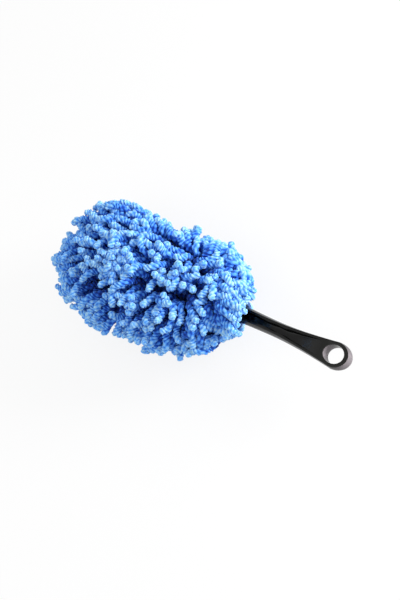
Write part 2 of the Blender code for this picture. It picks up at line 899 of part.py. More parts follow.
def main():
    clear_scene()
    duster = bpy.data.objects.new("duster", None)
    bpy.context.scene.collection.objects.link(duster)
    sleeve = bpy.data.objects.new("pull_off_sleeve", None)
    bpy.context.scene.collection.objects.link(sleeve)
    sleeve.parent = duster
    make_moulding(duster)
    make_noodles(sleeve)
    make_side_seam(sleeve)
    make_mouth(sleeve)
    make_hem(sleeve)
    make_elastic(sleeve)
    set_down(duster)


main()
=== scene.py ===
import math

import bmesh
import bpy
import numpy as np
from mathutils import Matrix, Vector


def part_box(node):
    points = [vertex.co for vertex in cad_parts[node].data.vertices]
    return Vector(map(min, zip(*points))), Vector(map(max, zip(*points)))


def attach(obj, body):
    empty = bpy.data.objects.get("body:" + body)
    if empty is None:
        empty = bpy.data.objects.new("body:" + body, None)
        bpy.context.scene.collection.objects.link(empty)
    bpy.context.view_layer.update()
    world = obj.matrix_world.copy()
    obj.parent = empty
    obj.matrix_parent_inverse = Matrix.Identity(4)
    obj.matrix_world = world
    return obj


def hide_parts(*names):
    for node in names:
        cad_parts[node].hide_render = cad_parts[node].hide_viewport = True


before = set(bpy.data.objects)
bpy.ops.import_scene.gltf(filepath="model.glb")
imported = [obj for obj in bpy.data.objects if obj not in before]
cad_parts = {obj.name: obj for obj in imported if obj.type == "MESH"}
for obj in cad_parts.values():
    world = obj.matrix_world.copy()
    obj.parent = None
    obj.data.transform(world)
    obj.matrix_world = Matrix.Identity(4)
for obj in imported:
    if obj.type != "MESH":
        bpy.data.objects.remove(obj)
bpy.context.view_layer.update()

# Places in the frame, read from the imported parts. All lengths are in metres.
moulding_low, moulding_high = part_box("handle_and_paddle")
hem_low, hem_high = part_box("neck_hem")
HOLE_FROM_END = 0.01385
HOLE = np.array(
    [moulding_low.x + HOLE_FROM_END, (moulding_low.y + moulding_high.y) / 2, (hem_low.z + hem_high.z) / 2]
)
NECK_X = hem_high.x
PADDLE_TIP_X = moulding_high.x
SLICES = ("neck", "rear", "middle", "front", "tip")

# Noodles
NOODLES_A_PANEL = 256
COLLAR_NOODLES = 13
NOODLE_RADIUS = 0.00272
NOODLE_POINTS = 16
SHORTEST, LONGEST = 0.033, 0.047
LEAST_HEIGHT = 0.0037
SEED, PANEL_SEEDS = 7, ((1, 21), (-1, 22))

# Their twisted plies and knobs, and how far past the last point, and how wide, each end ring is
PLIES = 3
PLY_RADIUS = 0.00186
PLY_OFFSET = 0.00128
TWIST_PITCH = 0.0103
KNOB_PITCH = 0.0056
RING_SIDES = 12
END_OUT = np.array([0.0007, 0.0014, 0.0020, 0.0025, 0.0027, 0.0024])
END_WIDTH = np.array([0.98, 0.93, 0.83, 0.66, 0.43, 0.16])

# Sleeve: a pocket, oval at the neck, flat over the paddle, rounded off and thinner at its end. The
# powers say how square an oval is.
NECK_HALF_WIDTH, NECK_HALF_HEIGHT, NECK_POWER = 0.0120, 0.0088, 5
PANEL_HALF_WIDTH, PANEL_HALF_HEIGHT, PANEL_POWER = 0.0350, 0.0038, 8
MOUTH_LENGTH = 0.0210
SLICE_LENGTH = 0.0289
CLOTH = 0.0010
POCKET_END = PADDLE_TIP_X + 0.0075
ROUND_LENGTH, ROUND_POWER = 0.040, 2.4
THIN_START, THIN_LENGTH, THIN_POWER = PADDLE_TIP_X + 0.0015, 0.006, 3
FIRST_ROOT = NECK_X + 0.007
LAST_ROOT = PADDLE_TIP_X + 0.0055

# The head's outline: an ellipsoid, with swells and dents given as a direction from its middle,
# how far out they go and how wide they are
HEAD_CENTRE = HOLE + np.array([0.2031, 0.0077, 0.0])
HEAD_HALF = np.array([0.1096, 0.0600, 0.0415])
SWELLS = (
    ((-0.86, -0.46, -0.22), -0.004, 0.15),
    ((-0.90, 0.36, -0.25), -0.012, 0.17),
    ((-0.72, 0.58, -0.38), -0.007, 0.18),
    ((-0.95, -0.05, 0.28), 0.011, 0.24),
    ((0.75, 0.60, 0.25), 0.002, 0.25),
    ((0.93, 0.00, 0.34), -0.003, 0.18),
    ((0.62, -0.72, 0.30), 0.007, 0.20),
    ((0.15, -0.97, 0.16), -0.008, 0.16),
    ((-0.30, -0.95, 0.04), -0.003, 0.10),
    ((-0.58, -0.81, -0.10), 0.003, 0.15),
)

NEAR_ZERO = 1e-12
rng = np.random.default_rng(SEED)


def unit(v):
    """Vectors of length one."""
    return v / np.maximum(np.linalg.norm(v, axis=-1, keepdims=True), NEAR_ZERO)


def ease(t):
    """A smooth step from nought to one."""
    t = np.clip(t, 0, 1)
    return t * t * (3 - 2 * t)


def between(value, start, end, fade_in, fade_out):
    """One between start and end, with a smooth step inside each."""
    return ease((value - start) / fade_in) * ease((end - value) / fade_out)


# The sleeve's pocket


def pocket_half_width(x):
    gathered = NECK_HALF_WIDTH + (PANEL_HALF_WIDTH - NECK_HALF_WIDTH) * ease((x - NECK_X) / MOUTH_LENGTH)
    along = np.clip((x - (POCKET_END - ROUND_LENGTH)) / ROUND_LENGTH, 0, 1)
    return gathered * (1 - along**ROUND_POWER) ** (1 / ROUND_POWER)


def pocket_half_height(x):
    return NECK_HALF_HEIGHT + (PANEL_HALF_HEIGHT - NECK_HALF_HEIGHT) * ease((x - NECK_X) / MOUTH_LENGTH)


def cloth_height(x, y):
    """Height of the pocket's cloth over its mid-plane: a rounded oval, closed at the tip."""
    power = NECK_POWER + (PANEL_POWER - NECK_POWER) * np.clip((x - NECK_X) / MOUTH_LENGTH, 0, 1)
    across = np.clip(np.abs(y) / pocket_half_width(x), 0, 0.9999)
    tip = np.clip((x - THIN_START) / THIN_LENGTH, 0, 0.999)
    rounded_off = (1 - tip**THIN_POWER) ** (1 / THIN_POWER)
    return pocket_half_height(x) * (1 - across**power) ** (1 / power) * rounded_off


# Noodle roots and tips

ROOT_SPACING, SPREADING_STEPS, SPREADING_SHARE = 0.0070, 120, 0.25
DRAWN_RIM_SHARE, RIM_SHARE = 0.95, 0.992


def panel_roots(count, seed):
    """Evenly spread places on one panel, by moving random points apart."""
    draw = np.random.default_rng(seed)
    points = np.zeros((0, 2))
    while len(points) < count:
        tried = draw.uniform((FIRST_ROOT, -PANEL_HALF_WIDTH), (LAST_ROOT, PANEL_HALF_WIDTH), (count, 2))
        inside = np.abs(tried[:, 1]) < pocket_half_width(tried[:, 0]) * DRAWN_RIM_SHARE
        points = np.concatenate([points, tried[inside]])
    points = points[:count]
    for _ in range(SPREADING_STEPS):
        apart = points[:, None] - points[None]
        far = np.linalg.norm(apart, axis=2) + np.eye(count)
        push = np.clip(ROOT_SPACING - far, 0, None) / far
        np.fill_diagonal(push, 0)
        points = points + SPREADING_SHARE * (apart * push[..., None]).sum(1)
        points[:, 0] = np.clip(points[:, 0], FIRST_ROOT, LAST_ROOT)
        limit = pocket_half_width(points[:, 0]) * RIM_SHARE
        points[:, 1] = np.clip(points[:, 1], -limit, limit)
    return points


def outline(direction, depth):
    """Where noodle tips end in a direction from the head's middle, in the unit ball."""
    out = np.zeros(len(direction))
    for toward, amount, width in SWELLS:
        toward = np.array(toward) / np.linalg.norm(toward)
        out += amount * np.exp(-((direction - toward) ** 2).sum(1) / (2 * width * width))
    point = direction * HEAD_HALF
    return HEAD_CENTRE + point * depth[:, None] + unit(point) * (out - END_OUT.max())[:, None]


WAVES, WAVE_SHARES, WAVE_SUM = 5, (0.75, 1.35), 2.2


def waves(x, y, length, seed):
    """Smooth waves over the panel, about one high, so that neighbouring noodles lean alike."""
    draw = np.random.default_rng(seed)
    value = 0
    for _ in range(WAVES):
        turn = draw.uniform(0, 2 * math.pi)
        k = 2 * math.pi / (length * draw.uniform(*WAVE_SHARES))
        value = value + np.sin(k * (x * math.cos(turn) + y * math.sin(turn)) + draw.uniform(0, 2 * math.pi))
    return value / WAVE_SUM


# Tufts: the length of their waves, how far these shift tips along and across, and their seeds
TUFTS = ((0.110, 0.060, 0.090, 31, 41), (0.042, 0.040, 0.070, 33, 43))
STRAY_ALONG, STRAY_ACROSS = 0.075, 0.100
RIM_LEAN, LEAN_POWER, FARTHEST_OUT = math.radians(94), 1.32, 1.02


def tip_directions(x, y, side):
    """Fan the noodles out evenly from the panel's middle to its rim, in loose tufts."""
    middle = (FIRST_ROOT + LAST_ROOT) / 2
    a = (x - middle) / (LAST_ROOT - middle)
    c = y / PANEL_HALF_WIDTH
    for length, along, across, seed_along, seed_across in TUFTS:
        a = a + along * waves(x, y, length, seed_along + side)
        c = c + across * waves(x, y, length, seed_across + side)
    a, c = a + STRAY_ALONG * rng.normal(size=len(x)), c + STRAY_ACROSS * rng.normal(size=len(x))
    out = (np.abs(a) ** ROUND_POWER + np.abs(c) ** ROUND_POWER) ** (1 / ROUND_POWER)
    lean = RIM_LEAN * np.clip(out, 0, FARTHEST_OUT) ** LEAN_POWER
    spin = np.arctan2(c, a)
    return np.stack([np.sin(lean) * np.cos(spin), np.sin(lean) * np.sin(spin), side * np.cos(lean)], 1)


# The parting along the top and the ridge beside it, as places from the hole. Four values in a row are
# a start, an end and their fades.
PARTING_Y, PARTING_SLOPE = -0.010, 0.09
PARTING_X = (0.150, 0.222, 0.015, 0.020)
PARTING_GAP, PARTING_REACH = 0.0045, 0.022
RIDGE_Y = (-0.046, -0.008, 0.012, 0.008)
RIDGE_PUSH = (0.010, 0.004)


def groom(direction):
    """Comb the upper noodles: a parting along the top with a ridge that hangs over it."""
    place = HEAD_CENTRE + direction * HEAD_HALF - HOLE
    upper = direction[:, 2] > 0
    line = PARTING_Y + (place[:, 0] - PARTING_X[0]) * PARTING_SLOPE
    along = between(place[:, 0], *PARTING_X)
    off = place[:, 1] - line
    opened = np.sign(off) * np.sqrt(off**2 + (PARTING_GAP * along) ** 2)
    near = np.exp(-((off / PARTING_REACH) ** 2))
    place[:, 1] += np.where(upper, (opened - off) * near, 0)
    ridge = between(off, *RIDGE_Y) * along
    for axis, push in enumerate(RIDGE_PUSH):
        place[:, axis] += np.where(upper, push * ridge, 0)
    return unit((place + HOLE - HEAD_CENTRE) / HEAD_HALF)


# Round the neck the tips stay this far above or below the handle's middle, and reach back to the
# fringe, the lower ones less far the lower they are
OVER_NECK_X, OVER_NECK_FADE = NECK_X + 0.006, 0.010
BESIDE_NECK, BESIDE_NECK_FADE = 0.021, 0.008
NECK_ROOM = 0.0118
NECK_FRINGE = HOLE[0] + 0.0880
LOWER_FRINGE, LOWER_FRINGE_SLOPE = 0.0120, 0.80
FRINGE_PULL = 0.85


def clear_neck(tips):
    """Keep the tips clear of the hem and the handle, and draw those too far back forward."""
    over = ease((OVER_NECK_X - tips[:, 0]) / OVER_NECK_FADE)
    over = over * ease((BESIDE_NECK - np.abs(tips[:, 1] - HOLE[1])) / BESIDE_NECK_FADE)
    rise = tips[:, 2] - HOLE[2]
    least = NECK_ROOM * over
    rise = np.where((rise >= 0) & (rise < least), least, rise)
    rise = np.where((rise < 0) & (rise > -least), -least, rise)
    tips[:, 2] = HOLE[2] + rise
    farthest = NECK_FRINGE + np.where(rise < 0, LOWER_FRINGE - LOWER_FRINGE_SLOPE * rise, 0)
    tips[:, 0] -= FRINGE_PULL * np.minimum(tips[:, 0] - farthest, 0)
    return tips


# Noodle paths


def bezier(a, b, c, d, t):
    """Points of cubic curves, one for each row of corners."""
    t = t[None, :, None]
    a, b, c, d = (corner[:, None] for corner in (a, b, c, d))
    return a * (1 - t) ** 3 + 3 * b * t * (1 - t) ** 2 + 3 * c * t * t * (1 - t) + d * t**3


# The bend of a noodle, in shares of the way to its tip, and the points that its length is taken from
KNEE_LIMITS, KNEE_HALVINGS, END_SHARE, FINE_POINTS = (0.20, 1.10), 10, 0.35, 48


def lay(roots, normals, tips, ends, bow, wanted):
    """Paths that leave the cloth upright, bent just so far that they get the wanted length."""
    chord = np.linalg.norm(tips - roots, axis=1, keepdims=True)
    bow = bow * chord
    low, high = (np.full(len(roots), limit) for limit in KNEE_LIMITS)
    for _ in range(KNEE_HALVINGS):
        share = ((low + high) / 2)[:, None]
        knee = roots + normals * chord * share
        late = tips - ends * chord * END_SHARE + bow
        paths = bezier(roots, knee, late, tips, np.linspace(0, 1, FINE_POINTS))
        steps = np.linalg.norm(np.diff(paths, axis=1), axis=2)
        short = steps.sum(1) < wanted
        low, high = np.where(short, share[:, 0], low), np.where(short, high, share[:, 0])
    run = np.concatenate([np.zeros((len(roots), 1)), np.cumsum(steps, axis=1)], 1)
    even = np.empty((len(roots), NOODLE_POINTS, 3))
    for i in range(len(roots)):
        places = np.linspace(0, run[i, -1], NOODLE_POINTS)
        for axis in range(3):
            even[i, :, axis] = np.interp(places, run[i], paths[i, :, axis])
    return even, run[:, -1]


def near_pairs(points, reach):
    """Pairs of points that lie in the same or in touching cells of a grid."""
    cells = np.floor((points - points.min(0)) / reach).astype(np.int64) + 1
    span = cells.max(0) + 2
    keys = (cells[:, 0] * span[1] + cells[:, 1]) * span[2] + cells[:, 2]
    order = np.argsort(keys, kind="stable")
    keys = keys[order]
    count = len(keys)
    firsts, seconds = [], []
    for i, j, k in np.ndindex(3, 3, 3):
        shift = ((i - 1) * span[1] + j - 1) * span[2] + k - 1
        if shift < 0:
            continue
        low = np.searchsorted(keys, keys + shift, "left")
        high = np.searchsorted(keys, keys + shift, "right")
        if shift == 0:
            low = np.arange(count) + 1
        number = np.maximum(high - low, 0)
        first = np.repeat(np.arange(count), number)
        before = np.repeat(np.cumsum(number) - number, number)
        second = np.repeat(low, number) + np.arange(len(first)) - before
        firsts.append(order[first])
        seconds.append(order[second])
    return np.concatenate(firsts), np.concatenate(seconds)


def keep_off(flat, start, end, half_width, half_height):
    """Push points out of the room round the middle line, sideways or up and down."""
    x = flat[:, 0]
    off = flat[:, 1:] - HOLE[1:]
    half = np.stack([half_width, half_height], 1) + NOODLE_RADIUS
    gap = half - np.abs(off)
    inside = (x > start) & (x < end) & (gap > 0).all(1)
    sideways = inside & (gap[:, 0] < gap[:, 1])
    upright = inside & ~sideways
    flat[sideways, 1] = HOLE[1] + np.copysign(half[sideways, 0], off[sideways, 0])
    flat[upright, 2] = HOLE[2] + np.copysign(half[upright, 1], off[upright, 1])


# Settling: the search for near pairs, the pull back to the laid path, the push between noodles, and
# the half width and height kept free round hem and handle
SETTLING_STEPS, QUICK_STEPS = 260, 60
PAIRS_EVERY, PAIRS_REACH, OWN_NEIGHBOURS = 4, 1.15, 2
FADING_PULL, LASTING_PULL, ROOT_PULL_SHARE = 0.08, 0.020, 0.3
PUSH, PUSH_POWER = 1.5, 0.7
SMOOTHING = 0.35
HEM_ROOM, HANDLE_ROOM = (0.0118, 0.0096), (0.0082, 0.0055)
HEM_ROOM_END = NECK_X + 0.001
LEAST_DISTANCE = 1e-6


def relax(paths, normals, spacing, steps):
    """Settle the noodles: lengths kept, roots held, none through another, the sleeve or the floor."""
    count, points = paths.shape[:2]
    goal = paths.copy()
    roots = paths[:, 0].copy()
    noodle = np.repeat(np.arange(count), points)
    place = np.tile(np.arange(points), count)
    flat = paths.reshape(-1, 3)
    thick = 2 * NOODLE_RADIUS
    ones = np.ones(len(flat))
    weight = np.linspace(ROOT_PULL_SHARE, 1.0, points)[None, :, None]
    for step in range(steps):
        share = step / steps
        if step % PAIRS_EVERY == 0:
            a, b = near_pairs(flat, thick * PAIRS_REACH)
            keep = (noodle[a] != noodle[b]) | (np.abs(place[a] - place[b]) > OWN_NEIGHBOURS)
            a, b = a[keep], b[keep]
        paths += (goal - paths) * (FADING_PULL * (1 - share) + LASTING_PULL) * weight
        apart = flat[b] - flat[a]
        far = np.linalg.norm(apart, axis=1)
        hit = far < thick
        i, j = a[hit], b[hit]
        push = apart[hit] / np.maximum(far[hit], LEAST_DISTANCE)[:, None]
        push = push * ((thick - far[hit]) / 2)[:, None]
        number = np.bincount(i, minlength=len(flat)) + np.bincount(j, minlength=len(flat))
        scale = PUSH / np.maximum(number, 1) ** PUSH_POWER
        for axis in range(3):
            moved = np.bincount(j, push[:, axis], len(flat)) - np.bincount(i, push[:, axis], len(flat))
            flat[:, axis] += moved * scale
        flat[:, 2] = np.maximum(flat[:, 2], LEAST_HEIGHT)
        x = flat[:, 0]
        keep_off(flat, NECK_X, POCKET_END, pocket_half_width(x), pocket_half_height(x))
        keep_off(flat, hem_low.x, HEM_ROOM_END, HEM_ROOM[0] * ones, HEM_ROOM[1] * ones)
        keep_off(flat, HOLE[0], hem_low.x, HANDLE_ROOM[0] * ones, HANDLE_ROOM[1] * ones)
        moved = paths - goal
        moved[:, 1:-1] += SMOOTHING * (moved[:, :-2] + moved[:, 2:] - 2 * moved[:, 1:-1])
        moved[:, -1] += SMOOTHING * (moved[:, -2] - moved[:, -1])
        paths[:] = goal + moved
        for order in (range(1, points), range(points - 1, 0, -1)):
            for k in order:
                run = paths[:, k] - paths[:, k - 1]
                far = np.linalg.norm(run, axis=1)
                fix = run * ((far - spacing) / np.maximum(far, LEAST_DISTANCE))[:, None]
                half = 0.5 if k > 1 else 1.0
                paths[:, k] -= fix * half
                if k > 1:
                    paths[:, k - 1] += fix * half
            paths[:, 0] = roots
            paths[:, 1] = roots + normals * spacing[:, None]
    return paths


# The collar: the spread of its tips, the line where they end, from the hole, and what it gains below
# and at the sides, their height over an arch, and the place of the roots
COLLAR_HALF_WIDTH, COLLAR_STRAY = 0.0150, 0.0007
COLLAR_FRINGE, COLLAR_BEND, COLLAR_MIDDLE = 0.0870, 18.0, 0.001
COLLAR_RAGGED = (-0.0015, 0.0035)
LOWER_COLLAR, COLLAR_SLANT = 0.0320, 0.12
SIDE_STEP, SIDE_STEP_Y = 0.0030, -0.008
COLLAR_HEIGHT, COLLAR_ARCH, COLLAR_UNEVEN = 0.0135, 16.0, (-0.0010, 0.0035)
COLLAR_ROOTS, COLLAR_ROOT_SHARE = (0.0030, 0.0085), 0.62


def collar(side):
    """Short noodles round the neck, which lie back over the hem and the start of the handle."""
    across = np.linspace(-COLLAR_HALF_WIDTH, COLLAR_HALF_WIDTH, COLLAR_NOODLES)
    across = across + COLLAR_STRAY * rng.normal(size=COLLAR_NOODLES)
    x = NECK_X + rng.uniform(*COLLAR_ROOTS, COLLAR_NOODLES)
    root_y = across * COLLAR_ROOT_SHARE
    roots = np.stack([x, root_y + HOLE[1], HOLE[2] + side * cloth_height(x, root_y)], 1)
    back = HOLE[0] + COLLAR_FRINGE + COLLAR_BEND * (across - COLLAR_MIDDLE) ** 2
    back = back + rng.uniform(*COLLAR_RAGGED, COLLAR_NOODLES)
    back += LOWER_COLLAR * (side < 0) - COLLAR_SLANT * np.maximum(across, 0) * (side > 0)
    back += SIDE_STEP * (across < SIDE_STEP_Y)
    height = COLLAR_HEIGHT - COLLAR_ARCH * across**2 + rng.uniform(*COLLAR_UNEVEN, COLLAR_NOODLES)
    tips = np.stack([back, across + HOLE[1], HOLE[2] + side * height], 1)
    return roots, tips, np.full(COLLAR_NOODLES, side)


# Depth of tips and roots, stray and droop of the ends, slack over the straight way, and the bow
DEPTH_SPREAD, DEPTH_POWER = 0.11, 1.5
STANDS_OUT, STANDS_OUT_PAST = 0.05, 0.96
ROOT_DEPTH, COLLAR_LEAN = 0.0004, -0.5
END_STRAY, END_DROOP, COLLAR_STRAY_SHARE = (0.48, 0.48, 0.24), np.array([0, 0, -0.40]), 0.3
LONGEST_SHARES, SLACK_SHARES = (0.92, 1.04), (1.03, 1.13)
BOW_BACK, BOW_STRAY = -0.32, 0.09


def noodle_paths():
    """Every noodle's path, the side of the sleeve that it stands on and its length."""
    roots, tips, face = [], [], []
    for side, seed in PANEL_SEEDS:
        x, y = panel_roots(NOODLES_A_PANEL, seed).T
        direction = groom(tip_directions(x, y, side))
        depth = 1 - DEPTH_SPREAD * rng.random(len(x)) ** DEPTH_POWER
        depth = depth + STANDS_OUT * (rng.random(len(x)) > STANDS_OUT_PAST)
        tips.append(outline(direction, depth))
        roots.append(np.stack([x, y + HOLE[1], HOLE[2] + side * cloth_height(x, y)], 1))
        face.append(np.full(len(x), side))
    tips = [clear_neck(np.concatenate(tips))]
    for side in (1, -1):
        for kept, new in zip((roots, tips, face), collar(side)):
            kept.append(new)
    roots, tips, face = np.concatenate(roots), np.concatenate(tips), np.concatenate(face)
    roots[:, 2] -= ROOT_DEPTH * face
    tips[:, 2] = np.maximum(tips[:, 2], LEAST_HEIGHT)
    count = len(roots)
    normals = np.stack([np.zeros(count), np.zeros(count), face.astype(float)], 1)
    in_head, in_collar = slice(-2 * COLLAR_NOODLES), slice(-2 * COLLAR_NOODLES, None)
    normals[in_collar, 0] = COLLAR_LEAN
    normals = unit(normals)
    toward = tips - roots
    chord = np.linalg.norm(toward, axis=1)
    flatness = 1 - np.abs(toward[:, 2]) / chord
    stray = rng.normal(size=(count, 3)) * END_STRAY
    stray -= unit(toward) * (stray * unit(toward)).sum(1, keepdims=True)
    stray[in_collar] *= COLLAR_STRAY_SHARE
    ends = unit(unit(toward) + stray + END_DROOP * flatness[:, None])
    longest = LONGEST * rng.uniform(*LONGEST_SHARES, count)
    wanted = np.minimum(chord * rng.uniform(*SLACK_SHARES, count), np.maximum(longest, chord))
    wanted[in_head] = np.maximum(wanted[in_head], SHORTEST)
    bow = BOW_BACK * stray + BOW_STRAY * rng.normal(size=(count, 3))
    paths, length = lay(roots, normals, tips, ends, bow, wanted)
    steps = SETTLING_STEPS
    paths = relax(paths, normals, length / (NOODLE_POINTS - 1), steps)
    return paths, face, length


# Noodle meshes


def spline(paths, where):
    """Points and directions on the B-spline of each path at the given places."""
    first = 2 * paths[:, :1] - paths[:, 1:2]
    last = 2 * paths[:, -1:] - paths[:, -2:-1]
    p = np.concatenate([first, paths, last], 1)
    k = np.clip(where.astype(int), 0, paths.shape[1] - 2)
    t = (where - k)[None, :, None]
    a, b, c, d = (p[:, k + n] for n in range(4))
    point = (
        a * (1 - t) ** 3
        + b * (3 * t**3 - 6 * t**2 + 4)
        + c * (-3 * t**3 + 3 * t**2 + 3 * t + 1)
        + d * t**3
    ) / 6
    slope = -a * (1 - t) ** 2 + b * (3 * t**2 - 4 * t) + c * (-3 * t**2 + 2 * t + 1) + d * t**2
    return point, unit(slope)


HIDDEN_SHARE, HIDDEN_RINGS, OPEN_RINGS = 0.25, 8, 58
# How noodles differ, and how unevenly one is twisted, thick and knobbly
PITCH_SHARES, WIDTH_SHARES = (0.88, 1.12), (0.93, 1.06)
WOBBLE, WOBBLE_WAVES = 0.70, 480
LUMPS, LUMP_WAVES = 0.06, (1150, 410)
KNOBS, FUZZ = 0.100, 0.030
# How the plies merge towards the end
MERGE_LENGTH, MERGE_SHARE, MERGE_RADIUS = 0.0012, 0.18, 0.0022
# The painted light and shade that a mesh carries: painted shade by depth from the tip, painted highlights
# on the crests of plies and knobs over a least amount, and painted shade on the rounded end
SHADE_LENGTH, PLY_SHADE, KNOB_SHADE, LEAST_SHADE, END_SHADE = 0.027, 0.80, 0.34, 0.05, 110


def add_object(name, data):
    obj = bpy.data.objects.new(name, data)
    bpy.context.scene.collection.objects.link(obj)
    return obj


def across_path(tangent):
    """Two directions across each path, carried along it without a twist of their own."""
    side = np.zeros_like(tangent)
    helper = np.where(np.abs(tangent[:, 0, 2:3]) > 0.8, [[1.0, 0, 0]], [[0, 0, 1.0]])
    side[:, 0] = unit(np.cross(tangent[:, 0], helper))
    for k in range(1, tangent.shape[1]):
        before = side[:, k - 1]
        side[:, k] = unit(before - tangent[:, k] * (before * tangent[:, k]).sum(1, keepdims=True))
    return side, np.cross(tangent, side)


def ply_reach(angle):
    """How far out the plies reach together at each angle round a noodle."""
    from_ply = (angle + math.pi / PLIES) % (2 * math.pi / PLIES) - math.pi / PLIES
    reach = PLY_OFFSET * np.cos(from_ply)
    return reach + np.sqrt(PLY_RADIUS**2 - (PLY_OFFSET * np.sin(from_ply)) ** 2)


def tube_faces(count, rings, sides):
    """Faces of closed tubes whose points come tube by tube and ring by ring."""
    base = (np.arange(count) * rings * sides)[:, None, None]
    i = np.arange(sides)[None, None]
    j = (i + 1) % sides
    low = base + (np.arange(rings - 1) * sides)[None, :, None]
    high = low + sides
    quads = np.stack([low + i, low + j, high + j, high + i], -1)
    caps = base[:, :, 0] + (rings - 1) * sides + np.arange(sides)[None]
    feet = base[:, :, 0] + np.arange(sides)[None, ::-1]
    return quads.reshape(-1, 4).tolist() + caps.tolist() + feet.tolist()


def noodle_mesh(name, paths, length, surface):
    """Plies twisted round each other along every path, knobbly, closed by a rounded loop end."""
    count = len(paths)
    hidden = np.linspace(0, HIDDEN_SHARE, HIDDEN_RINGS, endpoint=False)
    shares = np.concatenate([hidden, np.linspace(HIDDEN_SHARE, 1.0, OPEN_RINGS)])
    width = np.concatenate([np.ones(len(shares)), END_WIDTH])
    out_by = np.concatenate([np.zeros(len(shares)), END_OUT])
    shares = np.concatenate([shares, np.ones(len(END_OUT))])
    centre, tangent = spline(paths, shares * (NOODLE_POINTS - 1))
    centre = centre + tangent * out_by[None, :, None]
    side, other = across_path(tangent)
    angle = np.linspace(0, 2 * math.pi, RING_SIDES, endpoint=False)
    reach = ply_reach(angle)
    painted_crest_light = (reach - reach.min()) / (reach.max() - reach.min())
    run = shares[None] * length[:, None]
    phase = rng.uniform(0, 2 * math.pi, (3, count, 1))
    pitch = TWIST_PITCH * rng.uniform(*PITCH_SHARES, count)[:, None]
    past = run + out_by[None]
    turned = 2 * math.pi * past / pitch + phase[0] + WOBBLE * np.sin(run * WOBBLE_WAVES + phase[1])
    around = turned[..., None] + angle
    knobs = np.cos(2 * around + (2 * math.pi * past / KNOB_PITCH + phase[2])[..., None])
    lumps = 1 + LUMPS * np.sin(run * LUMP_WAVES[0] + phase[2]) * np.sin(run * LUMP_WAVES[1] + phase[1])
    fat = rng.uniform(*WIDTH_SHARES, count)[:, None] * lumps * width[None]
    merged = np.clip((run - length[:, None] + MERGE_LENGTH) / MERGE_LENGTH, 0, 1)[..., None]
    near_end = MERGE_SHARE * merged
    section = reach * (1 - near_end) + MERGE_RADIUS * near_end
    rough = KNOBS * knobs + FUZZ * rng.normal(size=around.shape)
    out = section * fat[..., None] * (1 + rough * (1 - near_end))
    verts = centre[:, :, None] + (
        side[:, :, None] * np.cos(around)[..., None] + other[:, :, None] * np.sin(around)[..., None]
    ) * out[..., None]
    mesh = bpy.data.meshes.new(name)
    mesh.from_pydata(verts.reshape(-1, 3).tolist(), [], tube_faces(count, len(shares), RING_SIDES))
    mesh.shade_smooth()
    ones = np.ones(verts.shape[:3])
    # Painted shade: the share of the way in from the tip, over which the pile darkens
    from_tip = np.clip((length[:, None] - run) / SHADE_LENGTH, 0, 1)[..., None]
    # Painted highlights on the crests of plies and knobs, painted shade between them and on the rounded end
    lobe_light_and_shade = np.clip(PLY_SHADE * painted_crest_light + KNOB_SHADE * knobs + LEAST_SHADE, 0, 1)
    lobe_light_and_shade = lobe_light_and_shade * (1 - END_SHADE * out_by)[None, :, None]
    tint = rng.uniform(0, 1, count)[:, None, None]
    for label, values in (("painted_crest_light", lobe_light_and_shade), ("painted_shade_depth", from_tip), ("tint", tint)):
        layer = mesh.attributes.new(label, "FLOAT", "POINT")
        layer.data.foreach_set("value", (values * ones).astype(np.float32).ravel())
    mesh.materials.append(surface)
    return add_object(name, mesh)


# Materials. Noises are scale, detail, roughness and stretch; bumps are strength and distance; ramps
# are places with linear colours.
# The noodles' blue, from painted shade deep in the pile to painted highlights on the ply crests
NOODLE_RAMP = (
    (0.02, (0.001, 0.011, 0.14, 1)),
    (0.30, (0.011, 0.095, 0.57, 1)),
    (0.55, (0.110, 0.40, 1.0, 1)),
    (0.84, (0.41, 0.72, 1.0, 1)),
)
NOODLE_FINISH = {
    "Roughness": 0.75, "Specular IOR Level": 0.20,
    "Sheen Weight": 0.28, "Sheen Roughness": 0.4, "Sheen Tint": (0.6, 0.85, 1.0, 1),
}
FIBRE_NOISE, PATCH_NOISE = (1500.0, 4.0, 0.7), (45.0, 2.0)
FIBRE_BUMP = (0.5, 0.0004)
# Painted highlight on the ply crests, and a base lightness
PAINTED_PLY_LIGHT, BASE_LIGHT = 0.42, 0.18
# Fibre, patch and tint are the microfibre's own tone; the last is painted shade deeper in the pile
FIBRE_LIGHT, PATCH_LIGHT, TINT_LIGHT, PAINTED_DEPTH_SHADE = 0.28, 0.22, 0.10, -0.64

MOULDING_RAMP = ((0.1, (0.0012, 0.0013, 0.0018, 1)), (0.8, (0.0058, 0.0058, 0.0048, 1)))
# The light grey of the painted reflection on the ring's walls
PAINTED_REFLECTION_GREY = (0.200, 0.180, 0.195, 1)
HAZE_NOISE, SCRATCH_NOISE, FINE_NOISE = (160.0, 5.0, 0.6), (900.0, 3.0, 0.7, (0.12, 1, 1)), (2600.0, 2.0)
FINE_BUMP = (0.04, 0.0002)
# Haze in the colour, how much lighter it is near the ring and how fast that fades, and roughness
HAZE_LIGHT, RING_LIGHTENING, RING_SLOPE = 0.35, 0.6, -12.0
LEAST_ROUGH, HAZE_ROUGH, SCRATCH_ROUGH, REFLECTION_WALL_ROUGH = 0.10, 0.10, 0.10, 0.25
# The painted reflection on the ring's upright walls, as factor and sum: facing, way from the hole, haze,
# parting line
REFLECTION_FACING, REFLECTION_NEAR, REFLECTION_HAZE = (-1.9, -0.45), (-300.0, 4.2), (0.8, 0.5)
MOULD_LINE = (3500.0, 0.35)

